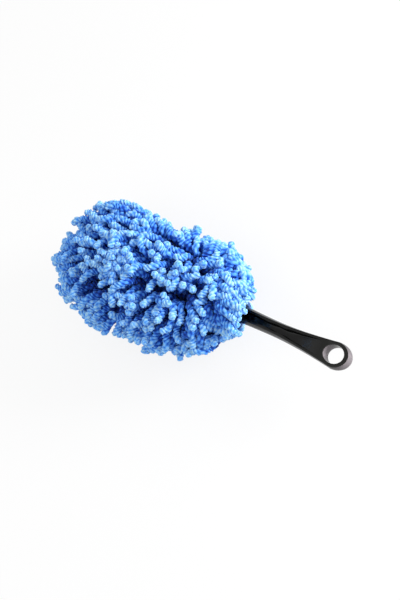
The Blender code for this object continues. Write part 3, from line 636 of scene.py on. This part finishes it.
CROSS_THREAD, WEAVE_DEPTH, WEAVE_MIDDLE = 0.3, 0.35, 0.5
WEAVE_LIGHT, SPOT_LIGHT = 0.5, 0.5
SPOT_NOISE, CLOTH_BUMP = (300.0, 4.0), (0.5, 0.0003)
CLOTH_FINISH = {"Roughness": 0.85, "Sheen Weight": 0.3}
BLUE_CLOTH = ((0.012, 0.045, 0.19, 1), (0.050, 0.17, 0.50, 1))
WHITE_ELASTIC = ((0.35, 0.35, 0.34, 1), (0.78, 0.78, 0.76, 1))
BLUE_THREAD = ((0.02, 0.08, 0.30, 1), (0.10, 0.30, 0.70, 1))


def new_material(name):
    made = bpy.data.materials.new(name)
    made.use_nodes = True
    tree = made.node_tree
    return made, tree, tree.nodes["Principled BSDF"]


def link(tree, out, node, label):
    tree.links.new(out, node.inputs[label])


def give(node, values):
    for label, value in values.items():
        node.inputs[label].default_value = value


def math_node(tree, kind, a, b=0.0, c=0.0):
    node = tree.nodes.new("ShaderNodeMath")
    node.operation = kind
    for index, value in enumerate((a, b, c)):
        if isinstance(value, (int, float)):
            node.inputs[index].default_value = value
        else:
            link(tree, value, node, index)
    return node.outputs[0]


def scaled(tree, value, factor, plus=0.0):
    return math_node(tree, "MULTIPLY_ADD", value, factor, plus)


def clamped(tree, value):
    return math_node(tree, "MINIMUM", math_node(tree, "MAXIMUM", value, 0.0), 1.0)


def axes(tree, vector):
    """The X, Y and Z outputs of a vector."""
    node = tree.nodes.new("ShaderNodeSeparateXYZ")
    link(tree, vector, node, "Vector")
    return node.outputs


def noise(tree, scale, detail, rough=0.55, stretch=(1, 1, 1)):
    place = tree.nodes.new("ShaderNodeTexCoord")
    mapping = tree.nodes.new("ShaderNodeMapping")
    give(mapping, {"Scale": stretch})
    made = tree.nodes.new("ShaderNodeTexNoise")
    give(made, {"Scale": scale, "Detail": detail, "Roughness": rough})
    link(tree, place.outputs["Object"], mapping, "Vector")
    link(tree, mapping.outputs["Vector"], made, "Vector")
    return made.outputs["Fac"]


def ramp(tree, fac, stops):
    node = tree.nodes.new("ShaderNodeValToRGB")
    bands = node.color_ramp.elements
    while len(bands) < len(stops):
        bands.new(0.5)
    for band, (place, colour) in zip(bands, stops):
        band.position = place
        band.color = colour
    link(tree, fac, node, "Fac")
    return node.outputs["Color"]


def bump(tree, shader, height, strength, distance):
    node = tree.nodes.new("ShaderNodeBump")
    give(node, {"Strength": strength, "Distance": distance})
    link(tree, height, node, "Height")
    link(tree, node.outputs["Normal"], shader, "Normal")


def attribute(tree, name):
    node = tree.nodes.new("ShaderNodeAttribute")
    node.attribute_name = name
    return node.outputs["Fac"]


def noodle_material():
    """Microfibre, with painted highlights on the outer crests of the plies and painted shade in the depth
    of the pile.
    """
    made, tree, shader = new_material("blue_microfibre")
    fibre = noise(tree, *FIBRE_NOISE)
    # Painted highlights on the ply crests and painted shade between them
    value = scaled(tree, attribute(tree, "painted_crest_light"), PAINTED_PLY_LIGHT, BASE_LIGHT)
    value = scaled(tree, fibre, FIBRE_LIGHT, value)
    value = scaled(tree, noise(tree, *PATCH_NOISE), PATCH_LIGHT, value)
    value = scaled(tree, attribute(tree, "tint"), TINT_LIGHT, value)
    # Painted shade deeper in the pile
    value = scaled(tree, attribute(tree, "painted_shade_depth"), PAINTED_DEPTH_SHADE, value)
    link(tree, ramp(tree, value, NOODLE_RAMP), shader, "Base Color")
    give(shader, NOODLE_FINISH)
    bump(tree, shader, fibre, *FIBRE_BUMP)
    return made


def ring_wall_reflection(tree, facing, place, from_hole, haze):
    """How much painted reflection, a light grey, the ring's upright walls carry, but for their parting
    line.
    """
    outward = scaled(tree, facing["X"], *REFLECTION_FACING)
    near = clamped(tree, scaled(tree, from_hole, *REFLECTION_NEAR))
    height = math_node(tree, "SUBTRACT", place["Z"], float(HOLE[2]))
    line = scaled(tree, math_node(tree, "ABSOLUTE", height), *MOULD_LINE)
    line = math_node(tree, "MINIMUM", line, 1.0)
    amount = math_node(tree, "MULTIPLY", math_node(tree, "MULTIPLY", outward, near), line)
    return clamped(tree, math_node(tree, "MULTIPLY", amount, scaled(tree, haze, *REFLECTION_HAZE)))


def moulded_material():
    """Glossy black plastic, a little lighter towards the ring, with fine scratches and a painted reflection
    on the ring's walls.
    """
    made, tree, shader = new_material("glossy_black_moulding")
    haze = noise(tree, *HAZE_NOISE)
    coordinates = tree.nodes.new("ShaderNodeTexCoord").outputs
    place = axes(tree, coordinates["Object"])
    from_hole = math_node(tree, "SUBTRACT", place["X"], float(HOLE[0]))
    near_ring = math_node(tree, "MAXIMUM", scaled(tree, from_hole, RING_SLOPE, 1.0), 0.0)
    value = scaled(tree, haze, HAZE_LIGHT, math_node(tree, "MULTIPLY", near_ring, RING_LIGHTENING))
    colour = ramp(tree, value, MOULDING_RAMP)
    # Painted reflection: light grey on the ring's walls that face the handle's end, which also get rougher
    painted_reflection = ring_wall_reflection(tree, axes(tree, coordinates["Normal"]), place, from_hole, haze)
    painted_reflection_mix = tree.nodes.new("ShaderNodeMix")
    painted_reflection_mix.data_type = "RGBA"
    link(tree, painted_reflection, painted_reflection_mix, "Factor")
    link(tree, colour, painted_reflection_mix, "A")
    give(painted_reflection_mix, {"B": PAINTED_REFLECTION_GREY})
    link(tree, painted_reflection_mix.outputs["Result"], shader, "Base Color")
    rough = scaled(tree, haze, HAZE_ROUGH, LEAST_ROUGH)
    rough = scaled(tree, noise(tree, *SCRATCH_NOISE), SCRATCH_ROUGH, rough)
    rough = scaled(tree, painted_reflection, REFLECTION_WALL_ROUGH, rough)
    link(tree, rough, shader, "Roughness")
    give(shader, {"IOR": 1.28})
    bump(tree, shader, noise(tree, *FINE_NOISE), *FINE_BUMP)
    return made


def cloth_material(name, colours, threads):
    """Woven cloth between two colours; threads is the weave's waves, in radians to the metre."""
    made, tree, shader = new_material(name)
    place = axes(tree, tree.nodes.new("ShaderNodeTexCoord").outputs["Object"])
    turned = [math_node(tree, "MULTIPLY", place[axis], threads) for axis in "XYZ"]
    x, y, z = (math_node(tree, "SINE", turn) for turn in turned)
    weave = scaled(tree, z, CROSS_THREAD, math_node(tree, "MULTIPLY", x, y))
    weave = scaled(tree, weave, WEAVE_DEPTH, WEAVE_MIDDLE)
    light = math_node(tree, "MULTIPLY", weave, WEAVE_LIGHT)
    light = scaled(tree, noise(tree, *SPOT_NOISE), SPOT_LIGHT, light)
    link(tree, ramp(tree, light, tuple(zip((0.2, 0.8), colours))), shader, "Base Color")
    give(shader, CLOTH_FINISH)
    bump(tree, shader, weave, *CLOTH_BUMP)
    return made


# The sleeve's pieces


def build_noodles():
    """Ten meshes of noodles, in the place of the ten slices of the part."""
    paths, face, length = noodle_paths()
    surface = noodle_material()
    made = []
    for side, panel in ((1, "top"), (-1, "bottom")):
        edges = NECK_X + MOUTH_LENGTH + SLICE_LENGTH * np.arange(1, len(SLICES))
        slot = np.digitize(paths[:, 0, 0], edges)
        for index, name in enumerate(SLICES):
            pick = (face == side) & (slot == index)
            node = f"{panel}_noodles_{name}"
            obj = noodle_mesh(f"noodles_{panel}_{name}", paths[pick], length[pick], surface)
            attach(obj, "sleeve")
            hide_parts(node)
            made.append(obj)
    return made


def shell(name, outer, inner, around, surface):
    """A thin closed solid between two grids of points; around says that the columns meet."""
    rows, columns = outer.shape[:2]
    count = rows * columns
    row, column = np.meshgrid(np.arange(rows - 1), np.arange(columns - (not around)), indexing="ij")
    a = row * columns + column
    b = row * columns + (column + 1) % columns
    skin = np.stack([a, b, b + columns, a + columns], -1).reshape(-1, 4)
    faces = skin.tolist() + (skin[:, ::-1] + count).tolist()
    c = np.arange(columns - (not around))
    rims = [(c, (c + 1) % columns, 0, 1), (c, (c + 1) % columns, count - columns, -1)]
    if not around:
        c = np.arange(rows - 1) * columns
        rims += [(c, c + columns, 0, -1), (c, c + columns, columns - 1, 1)]
    for c, d, first, flip in rims:
        rim = np.stack([c, c + count, d + count, d], -1) + first
        faces += rim[:, ::flip].tolist()
    return solid(name, np.concatenate([outer.reshape(-1, 3), inner.reshape(-1, 3)]), faces, surface)


def solid(name, points, faces, surface):
    """A smooth mesh in the scene with its faces turned outwards."""
    mesh = bpy.data.meshes.new(name)
    mesh.from_pydata(points.tolist(), [], faces)
    shape = bmesh.new()
    shape.from_mesh(mesh)
    bmesh.ops.recalc_face_normals(shape, faces=shape.faces)
    shape.to_mesh(mesh)
    shape.free()
    mesh.shade_smooth()
    mesh.materials.append(surface)
    return add_object(name, mesh)


def oval(half_width, half_height, power, columns):
    """Evenly spaced points round an oval, as (y, z), and the directions out of it."""
    turn = np.linspace(0, 2 * math.pi, 1441)
    halves = ((np.cos(turn), half_width), (np.sin(turn), half_height))
    dense = np.stack([np.copysign(np.abs(way) ** (2 / power), way) * half for way, half in halves], 1)
    run = np.concatenate([[0], np.cumsum(np.linalg.norm(np.diff(dense, axis=0), axis=1))])
    places = np.linspace(0, run[-1], columns, endpoint=False)
    points = np.stack([np.interp(places, run, dense[:, k]) for k in (0, 1)], 1)
    along = unit(np.roll(points, -1, 0) - np.roll(points, 1, 0))
    return points, np.stack([along[:, 1], -along[:, 0]], 1)


def in_frame(x, flat):
    """Points of the cloth, from places along it and (y, z) from the handle's middle line."""
    x = np.broadcast_to(np.asarray(x)[..., None], flat.shape[:-1] + (1,))
    return np.concatenate([x, flat + HOLE[1:]], -1)


def make_mouth(surface):
    """The gathered cloth between the hem and the full-width pocket."""
    columns, rows, gathers = 352, 26, 22
    gap, inset, gather_depth, gather_fade, crease_depth = 0.0003, 0.0003, 0.00095, 1.3, 0.00030
    phase = np.arange(columns) / columns * 2 * math.pi * gathers
    outer, inner = [], []
    for share in np.linspace(0, 1, rows):
        x = NECK_X + gap + share * (MOUTH_LENGTH - 2 * gap)
        power = NECK_POWER + (PANEL_POWER - NECK_POWER) * share
        points, out = oval(pocket_half_width(x), pocket_half_height(x), power, columns)
        depth = gather_depth * (1 - share) ** gather_fade
        fold = depth * (np.cos(phase + 0.5 * math.sin(5 * share)) - 1)
        fold += crease_depth * (1 - share) * np.sin(phase * 2 + 3 * share + 1) - inset
        outer.append(in_frame(x, points + out * fold[:, None]))
        inner.append(in_frame(x, points + out * (fold - CLOTH)[:, None]))
    return shell("mouth_gathers", np.array(outer), np.array(inner), True, surface)


def rounded(profile):
    """A closed profile with its corners cut, three times over, to a smooth curve."""
    near, far = 0.8, 0.2
    points = np.array(profile)
    for _ in range(3):
        after = np.roll(points, -1, 0)
        cuts = [points * near + after * far, points * far + after * near]
        points = np.stack(cuts, 1).reshape(-1, 2)
    return points


# The oval that hem and elastic are laid on
NECK_OVAL = (0.0078, 0.0056)


def sweep_round_neck(name, profile, ruffle, surface, columns=240):
    """Sweep a closed profile of (x, out) round the neck, ruffled where it is far out."""
    gathers, ruffle_from, ruffle_fade, slant = 34, 0.0016, 0.0006, 260
    points, out = oval(*NECK_OVAL, NECK_POWER, columns)
    phase = np.arange(columns) / columns * 2 * math.pi * gathers
    rings = []
    for x, away in profile:
        wave = ruffle * np.clip((away - ruffle_from) / ruffle_fade, 0, 1)
        lift = wave * (0.5 + 0.5 * np.cos(phase + slant * x)) * (0.8 + 0.2 * np.sin(phase / 3.4))
        rings.append(in_frame(NECK_X + x, points + out * (away + lift)[:, None]))
    rings = np.array(rings)
    count = len(profile)
    k = np.arange(count * columns).reshape(count, columns)
    right, up = np.roll(k, -1, 1), np.roll(k, -1, 0)
    faces = np.stack([k, right, np.roll(up, -1, 1), up], -1).reshape(-1, 4).tolist()
    return solid(name, rings.reshape(-1, 3), faces, surface)


def make_hem(surface):
    """The folded tunnel that the elastic runs in, gathered by it."""
    profile = rounded(
        (
            (-0.0085, 0.0004), (-0.0085, 0.0028), (-0.0077, 0.0032), (-0.0040, 0.0034), (0.0, 0.0032),
            (0.0, 0.0012), (-0.0008, 0.0012), (-0.0008, 0.0024), (-0.0040, 0.0026), (-0.0077, 0.0024),
            (-0.0077, 0.0008), (0.0, 0.0008), (0.0, 0.0), (-0.0077, 0.0),
        )
    )
    return sweep_round_neck("hem_tunnel", profile, 0.0004, surface)


def make_stitches(surface):
    """A row of running stitches that closes the tunnel."""
    stitches, pitch, sides, thickness = 30, 12, 6, (0.3, 0.8, 1, 1, 1, 1, 0.8, 0.3)
    thread, off_neck, past, dip = 0.00022, 0.00345, -0.0014, 0.0002
    points, out = oval(NECK_OVAL[0] + off_neck, NECK_OVAL[1] + off_neck, NECK_POWER, stitches * pitch)
    verts = []
    for start in range(0, stitches * pitch, pitch):
        for step, thick in enumerate(thickness):
            at, away = points[start + step], out[start + step]
            for turn in np.linspace(0, 2 * math.pi, sides, endpoint=False):
                radius = thread * thick
                place = at + away * (radius * math.cos(turn) - dip + dip * thick)
                verts.append((NECK_X + past + radius * math.sin(turn), *(place + HOLE[1:])))
    faces = tube_faces(stitches, len(thickness), sides)
    return solid("hem_stitches", np.array(verts), faces, surface)


def make_elastic(surface):
    """The ribbed band in the tunnel."""
    start, end, width, inner, outer = -0.00675, -0.00175, 0.005, 0.0012, 0.0020
    ribs, rib_height = 8, 0.00009
    across = np.linspace(start, end, 41)
    ribbed = rib_height * np.cos((across - across[0]) / width * 2 * math.pi * ribs)
    low = np.stack([across, inner + ribbed], 1)
    high = np.stack([across[::-1], outer - ribbed], 1)
    return sweep_round_neck("elastic_band", np.concatenate([low, high]), 0.0, surface, columns=160)


def make_backing(side, surface):
    """One panel of the noodles' cloth, stretched over the paddle; its rim meets the other's."""
    end, columns, widest, inner_width = PADDLE_TIP_X + 0.0073, 61, 0.9995, 0.985
    least, least_inner, ripple = 0.0004, 0.0002, 0.00012
    stations = np.linspace(NECK_X + MOUTH_LENGTH, end, 90)
    shares = widest * np.sin(np.linspace(-math.pi / 2, math.pi / 2, columns))
    rim, rim_heights = np.array([1.0005, 1.0030, 1.0025]), np.array([0.0, 0.4, 0.8])
    shares = np.concatenate([-rim, shares, rim[::-1]])
    drawn_in = np.concatenate([rim_heights, np.ones(columns), rim_heights[::-1]])
    outer, inner = [], []
    for x in stations:
        y = shares * pocket_half_width(x)
        height = cloth_height(x, np.clip(shares, -widest, widest) * pocket_half_width(x)) * drawn_in
        height += ripple * np.sin(y * 900 + 7 * math.sin(x * 160)) * np.sin(x * 760 + side)
        height = np.maximum(height, least)
        within = np.clip(height - CLOTH, least_inner, None)
        outer.append(in_frame(x, np.stack([y, side * height], 1)))
        inner.append(in_frame(x, np.stack([y * inner_width, side * within], 1)))
    name = "backing_top" if side > 0 else "backing_bottom"
    return shell(name, np.array(outer), np.array(inner), False, surface)


def make_seam(surface):
    """The folded-in seam allowance, rippled, round the paddle's edge."""
    start, bend, tip, half_width = NECK_X + 0.055, PADDLE_TIP_X - 0.034, 0.0343, 0.0293
    width, edge, half_thick, edge_thinner = 0.0024, 0.002, 0.0005, 0.00012
    ripple_height, edge_ripple = 0.00022, 0.00015
    count, power = 70, 2 / ROUND_POWER
    straight = np.linspace(start, bend, count, endpoint=False)
    x = np.concatenate([straight, np.full(count, bend)])
    turn = np.concatenate([np.zeros(count), np.linspace(0, math.pi / 2, count)])
    side = np.ones(2 * count)
    x, turn = np.concatenate([x, x[-2::-1]]), np.concatenate([turn, turn[-2::-1]])
    side = np.concatenate([side, -side[:-1]])
    steps = np.arange(len(x))
    layers = []
    for face in (1, -1):
        rows = []
        for out in np.linspace(0, width, 7):
            ripple = ripple_height * np.sin(steps * 0.55 + 2 * np.sin(steps * 0.11)) * out / width
            away = out + edge_ripple * np.sin(steps * 0.8) * (out > edge) * np.cos(turn)
            across = side * (half_width + away) * np.cos(turn) ** power
            along = x + (tip + away / 2) * np.sin(turn) ** power
            height = ripple + face * (half_thick - edge_thinner * (out > edge))
            rows.append(np.stack([along, across + HOLE[1], height + HOLE[2]], 1))
        layers.append(np.array(rows))
    return shell("seam_allowance", layers[0], layers[1], False, surface)


def make_cloth():
    """The sleeve's cloth pieces by name, each attached to the sleeve's body and, where it has one, hiding
    its node; the slot listed for each is not applied.
    """
    woven = cloth_material("blue_backing_cloth", BLUE_CLOTH, 5200.0)
    hem_cloth = cloth_material("blue_hem_cloth", BLUE_CLOTH, 6400.0)
    elastic = cloth_material("white_elastic", WHITE_ELASTIC, 6200.0)
    thread = cloth_material("blue_thread", BLUE_THREAD, 9000.0)
    pieces = (
        (make_mouth(woven), "gathered_mouth", "mouth_cloth"),
        (make_hem(hem_cloth), "neck_hem", "hem_cloth"),
        (make_elastic(elastic), "neck_elastic", "elastic_white"),
        (make_seam(woven), "side_seam", "seam_cloth"),
        (make_stitches(thread), None, "hem_cloth"),
        (make_backing(1, woven), None, "microfibre_blue"),
        (make_backing(-1, woven), None, "microfibre_blue"),
    )
    for piece, node, slot in pieces:
        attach(piece, "sleeve")
        if node:
            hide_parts(node)
    return {piece.name: piece for piece, _, _ in pieces}


def dress_moulding():
    """The moulding with its edges rounded, as they come out of a mould."""
    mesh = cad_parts["handle_and_paddle"].data.copy()
    mesh.materials.clear()
    mesh.materials.append(moulded_material())
    obj = add_object("moulding", mesh)
    weld = obj.modifiers.new("weld", "WELD")
    weld.merge_threshold = 0.00001
    rounding = obj.modifiers.new("rounding", "BEVEL")
    rounding.width, rounding.segments = 0.00045, 3
    rounding.limit_method, rounding.angle_limit = "ANGLE", math.radians(28)
    rounding.harden_normals = True
    obj.modifiers.new("normals", "WEIGHTED_NORMAL").keep_sharp = False
    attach(obj, "moulding")
    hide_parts("handle_and_paddle")


# Camera and light, as the photograph was taken. The angles are lift, azimuth and roll, the aim lies
# this far past the hole, and the photo's values are in pixels.
CAMERA_ANGLES, CAMERA_DISTANCE, CAMERA_AIM = (52.0, 7.12, 56.78), 1.1, 0.150
PHOTO_SIZE, PHOTO_MIDDLE, FOCAL_LENGTH, SENSOR_WIDTH = (400.0, 600.0), (194.4, 292.2), 1318.1, 36.0
# Name, place from the aim to the right, up and back, size, power and colour
LIGHTS = (
    ("key_light", (0.72, 0.42, 0.62), 0.42, 13.0, (1.0, 0.99, 0.97)),
    ("fill_light", (-0.9, 0.0, 0.6), 0.9, 2.2, (0.96, 0.98, 1.0)),
)
# The world's strength, and what it and the floor gain where they are seen
WORLD_LIGHT, WORLD_SEEN, FLOOR_SEEN = 0.66, 0.34, 0.82
FLOOR_HALF, FLOOR_Z = 3.0, -0.0003
FLOOR_GREYS, FLOOR_NOISE = ((0.0, 0.94), (1.0, 0.97)), (30.0, 3.0)
WHITE = (1, 1, 1, 1)


def add_camera():
    """The camera; returns its aim, and its right, up and back."""
    lift, azimuth, roll = (math.radians(angle) for angle in CAMERA_ANGLES)
    back = Vector((-math.cos(lift) * math.cos(azimuth), math.cos(lift) * math.sin(azimuth), math.sin(lift)))
    level = Vector((-math.sin(azimuth), -math.cos(azimuth), 0))
    over = back.cross(level)
    right = level * math.cos(roll) - over * math.sin(roll)
    up = level * math.sin(roll) + over * math.cos(roll)
    aim = Vector(HOLE) + Vector((CAMERA_AIM, 0, 0))
    width, height = PHOTO_SIZE
    data = bpy.data.cameras.new("camera")
    data.sensor_width = SENSOR_WIDTH
    data.lens = FOCAL_LENGTH * SENSOR_WIDTH / height
    data.shift_x = (width / 2 - PHOTO_MIDDLE[0]) / height
    data.shift_y = (PHOTO_MIDDLE[1] - height / 2) / height
    data.clip_start, data.clip_end = 0.01, 50.0
    camera = add_object("camera", data)
    turn = Matrix((right, up, back)).transposed().to_4x4()
    camera.matrix_world = Matrix.Translation(aim + back * CAMERA_DISTANCE) @ turn
    bpy.context.scene.camera = camera
    return aim, right, up, back


def add_lights(aim, *ways):
    for name, offsets, size, power, colour in LIGHTS:
        data = bpy.data.lights.new(name, "AREA")
        data.energy, data.size, data.color = power, size, colour
        place = aim.copy()
        for way, offset in zip(ways, offsets):
            place = place + way * offset
        lamp = add_object(name, data)
        lamp.location = place
        lamp.rotation_mode = "QUATERNION"
        lamp.rotation_quaternion = (aim - place).to_track_quat("-Z", "Y")


def seen_as_background(tree):
    """One for rays that show the background: straight to the camera, mirrored or let through."""
    path = tree.nodes.new("ShaderNodeLightPath")
    seen = math_node(tree, "MAXIMUM", path.outputs["Is Camera Ray"], path.outputs["Is Glossy Ray"])
    return math_node(tree, "MAXIMUM", seen, path.outputs["Is Transmission Ray"])


def add_floor():
    mesh = bpy.data.meshes.new("floor")
    corners = ((-1, -1), (1, -1), (1, 1), (-1, 1))
    mesh.from_pydata([(x * FLOOR_HALF, y * FLOOR_HALF, FLOOR_Z) for x, y in corners], [], [(0, 1, 2, 3)])
    made, tree, shader = new_material("pale_floor")
    greys = [(place, (grey, grey, grey, 1)) for place, grey in FLOOR_GREYS]
    link(tree, ramp(tree, noise(tree, *FLOOR_NOISE), greys), shader, "Base Color")
    give(shader, {"Roughness": 0.9})
    glow = tree.nodes.new("ShaderNodeEmission")
    give(glow, {"Color": WHITE, "Strength": 1.0})
    mixed = tree.nodes.new("ShaderNodeMixShader")
    link(tree, math_node(tree, "MULTIPLY", seen_as_background(tree), FLOOR_SEEN), mixed, "Fac")
    link(tree, shader.outputs["BSDF"], mixed, 1)
    link(tree, glow.outputs["Emission"], mixed, 2)
    link(tree, mixed.outputs["Shader"], tree.nodes["Material Output"], "Surface")
    mesh.materials.append(made)
    add_object("floor", mesh)


def add_world():
    world = bpy.data.worlds.new("studio")
    world.use_nodes = True
    tree = world.node_tree
    background = tree.nodes["Background"]
    give(background, {"Color": WHITE})
    strength = scaled(tree, seen_as_background(tree), WORLD_SEEN, WORLD_LIGHT)
    link(tree, strength, background, "Strength")
    bpy.context.scene.world = world


bpy.context.scene.view_settings.view_transform = "Standard"
dress_moulding()
make_cloth()
build_noodles()
add_lights(*add_camera())
add_floor()
add_world()
